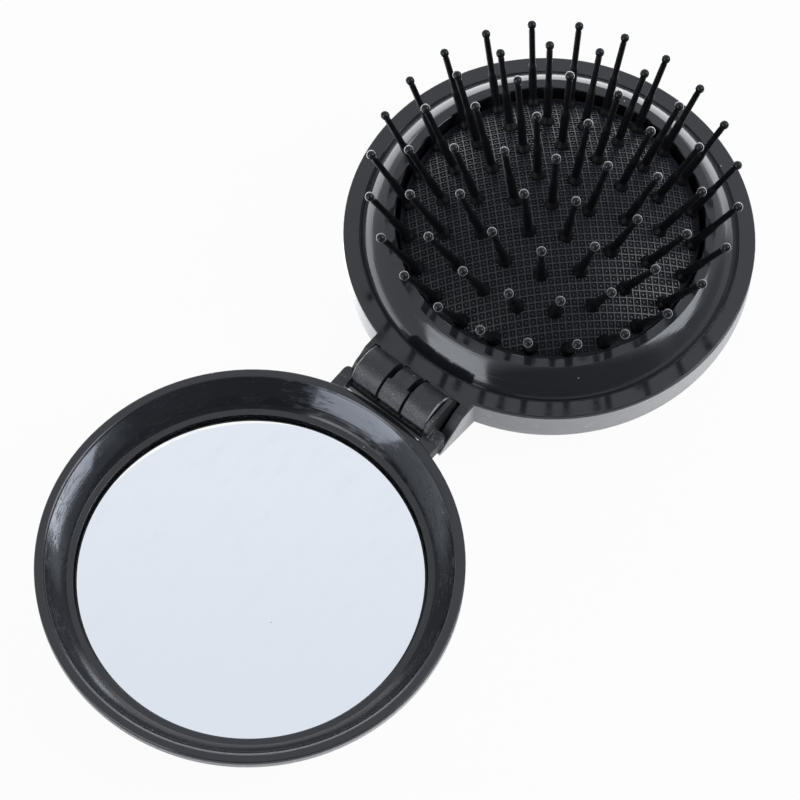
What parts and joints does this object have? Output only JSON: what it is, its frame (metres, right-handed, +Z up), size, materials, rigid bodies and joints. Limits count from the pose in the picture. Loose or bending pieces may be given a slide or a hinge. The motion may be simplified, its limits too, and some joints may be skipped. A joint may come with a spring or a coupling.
{
  "type": "folding hairbrush with mirror",
  "caption": "Round pocket compact that folds on a clip hinge: a cushion of ball-tipped bristles in one half and a round mirror in the other.",
  "frame": {"origin": "on the plane that both backs rest on when the compact lies open, midway between the two halves under the hinge axis", "axes": "+X towards the brush half, -X towards the mirror half, +Y along the hinge axis, +Z up towards the bristle tips"},
  "size_m": [0.1446, 0.068, 0.0377],
  "materials": {
    "pale_shell": "satin pearl white",
    "black_gloss": "glossy black",
    "cushion_rubber": "matte, textured with small raised squares",
    "bristle_nylon": "satin black nylon",
    "foam_tape": "matte foam",
    "mirror_glass": "polished",
    "pin_acetal": "satin black acetal"
  },
  "bodies": {
    "brush": {"brush_shell": "pale_shell", "brush_frame": "black_gloss", "cushion": "cushion_rubber"},
    "mirror": {"mirror_shell": "pale_shell", "mirror_frame": "black_gloss", "mirror_tape": "foam_tape", "mirror_glass": "mirror_glass", "hinge_pin": "pin_acetal"},
    "bristle_centre": {"bristle_centre": "bristle_nylon"},
    "bristle_ring_1": {"bristle_ring_1": "bristle_nylon"},
    "bristle_ring_2": {"bristle_ring_2": "bristle_nylon"},
    "bristle_ring_3": {"bristle_ring_3": "bristle_nylon"},
    "bristle_ring_4": {"bristle_ring_4": "bristle_nylon"}
  },
  "joints": [
    {"name": "fold", "type": "hinge", "parent": "brush", "child": "mirror", "pos_m": [0, 0, 0.01315], "axis": [0, 1, 0], "range_deg": [0, 180]},
    {"name": "bristle_centre_drop", "type": "slide", "parent": "brush", "child": "bristle_centre", "axis": [0, 0, -1], "range_m": [0, 0.01925], "deforming": ["cushion"]},
    {"name": "bristle_ring_1_drop", "type": "slide", "parent": "brush", "child": "bristle_ring_1", "axis": [0, 0, -1], "range_m": [0, 0.01887]},
    {"name": "bristle_ring_2_drop", "type": "slide", "parent": "brush", "child": "bristle_ring_2", "axis": [0, 0, -1], "range_m": [0, 0.01766]},
    {"name": "bristle_ring_3_drop", "type": "slide", "parent": "brush", "child": "bristle_ring_3", "axis": [0, 0, -1], "range_m": [0, 0.01581]},
    {"name": "bristle_ring_4_drop", "type": "slide", "parent": "brush", "child": "bristle_ring_4", "axis": [0, 0, -1], "range_m": [0, 0.01317], "deforming": ["bristle_ring_4"]}
  ],
  "couplings": [
    {"joint": "bristle_centre_drop", "follows": "fold", "m_per_rad": 0.0061275},
    {"joint": "bristle_ring_1_drop", "follows": "fold", "m_per_rad": 0.0060065},
    {"joint": "bristle_ring_2_drop", "follows": "fold", "m_per_rad": 0.0056213},
    {"joint": "bristle_ring_3_drop", "follows": "fold", "m_per_rad": 0.0050325},
    {"joint": "bristle_ring_4_drop", "follows": "fold", "m_per_rad": 0.0041921}
  ]
}
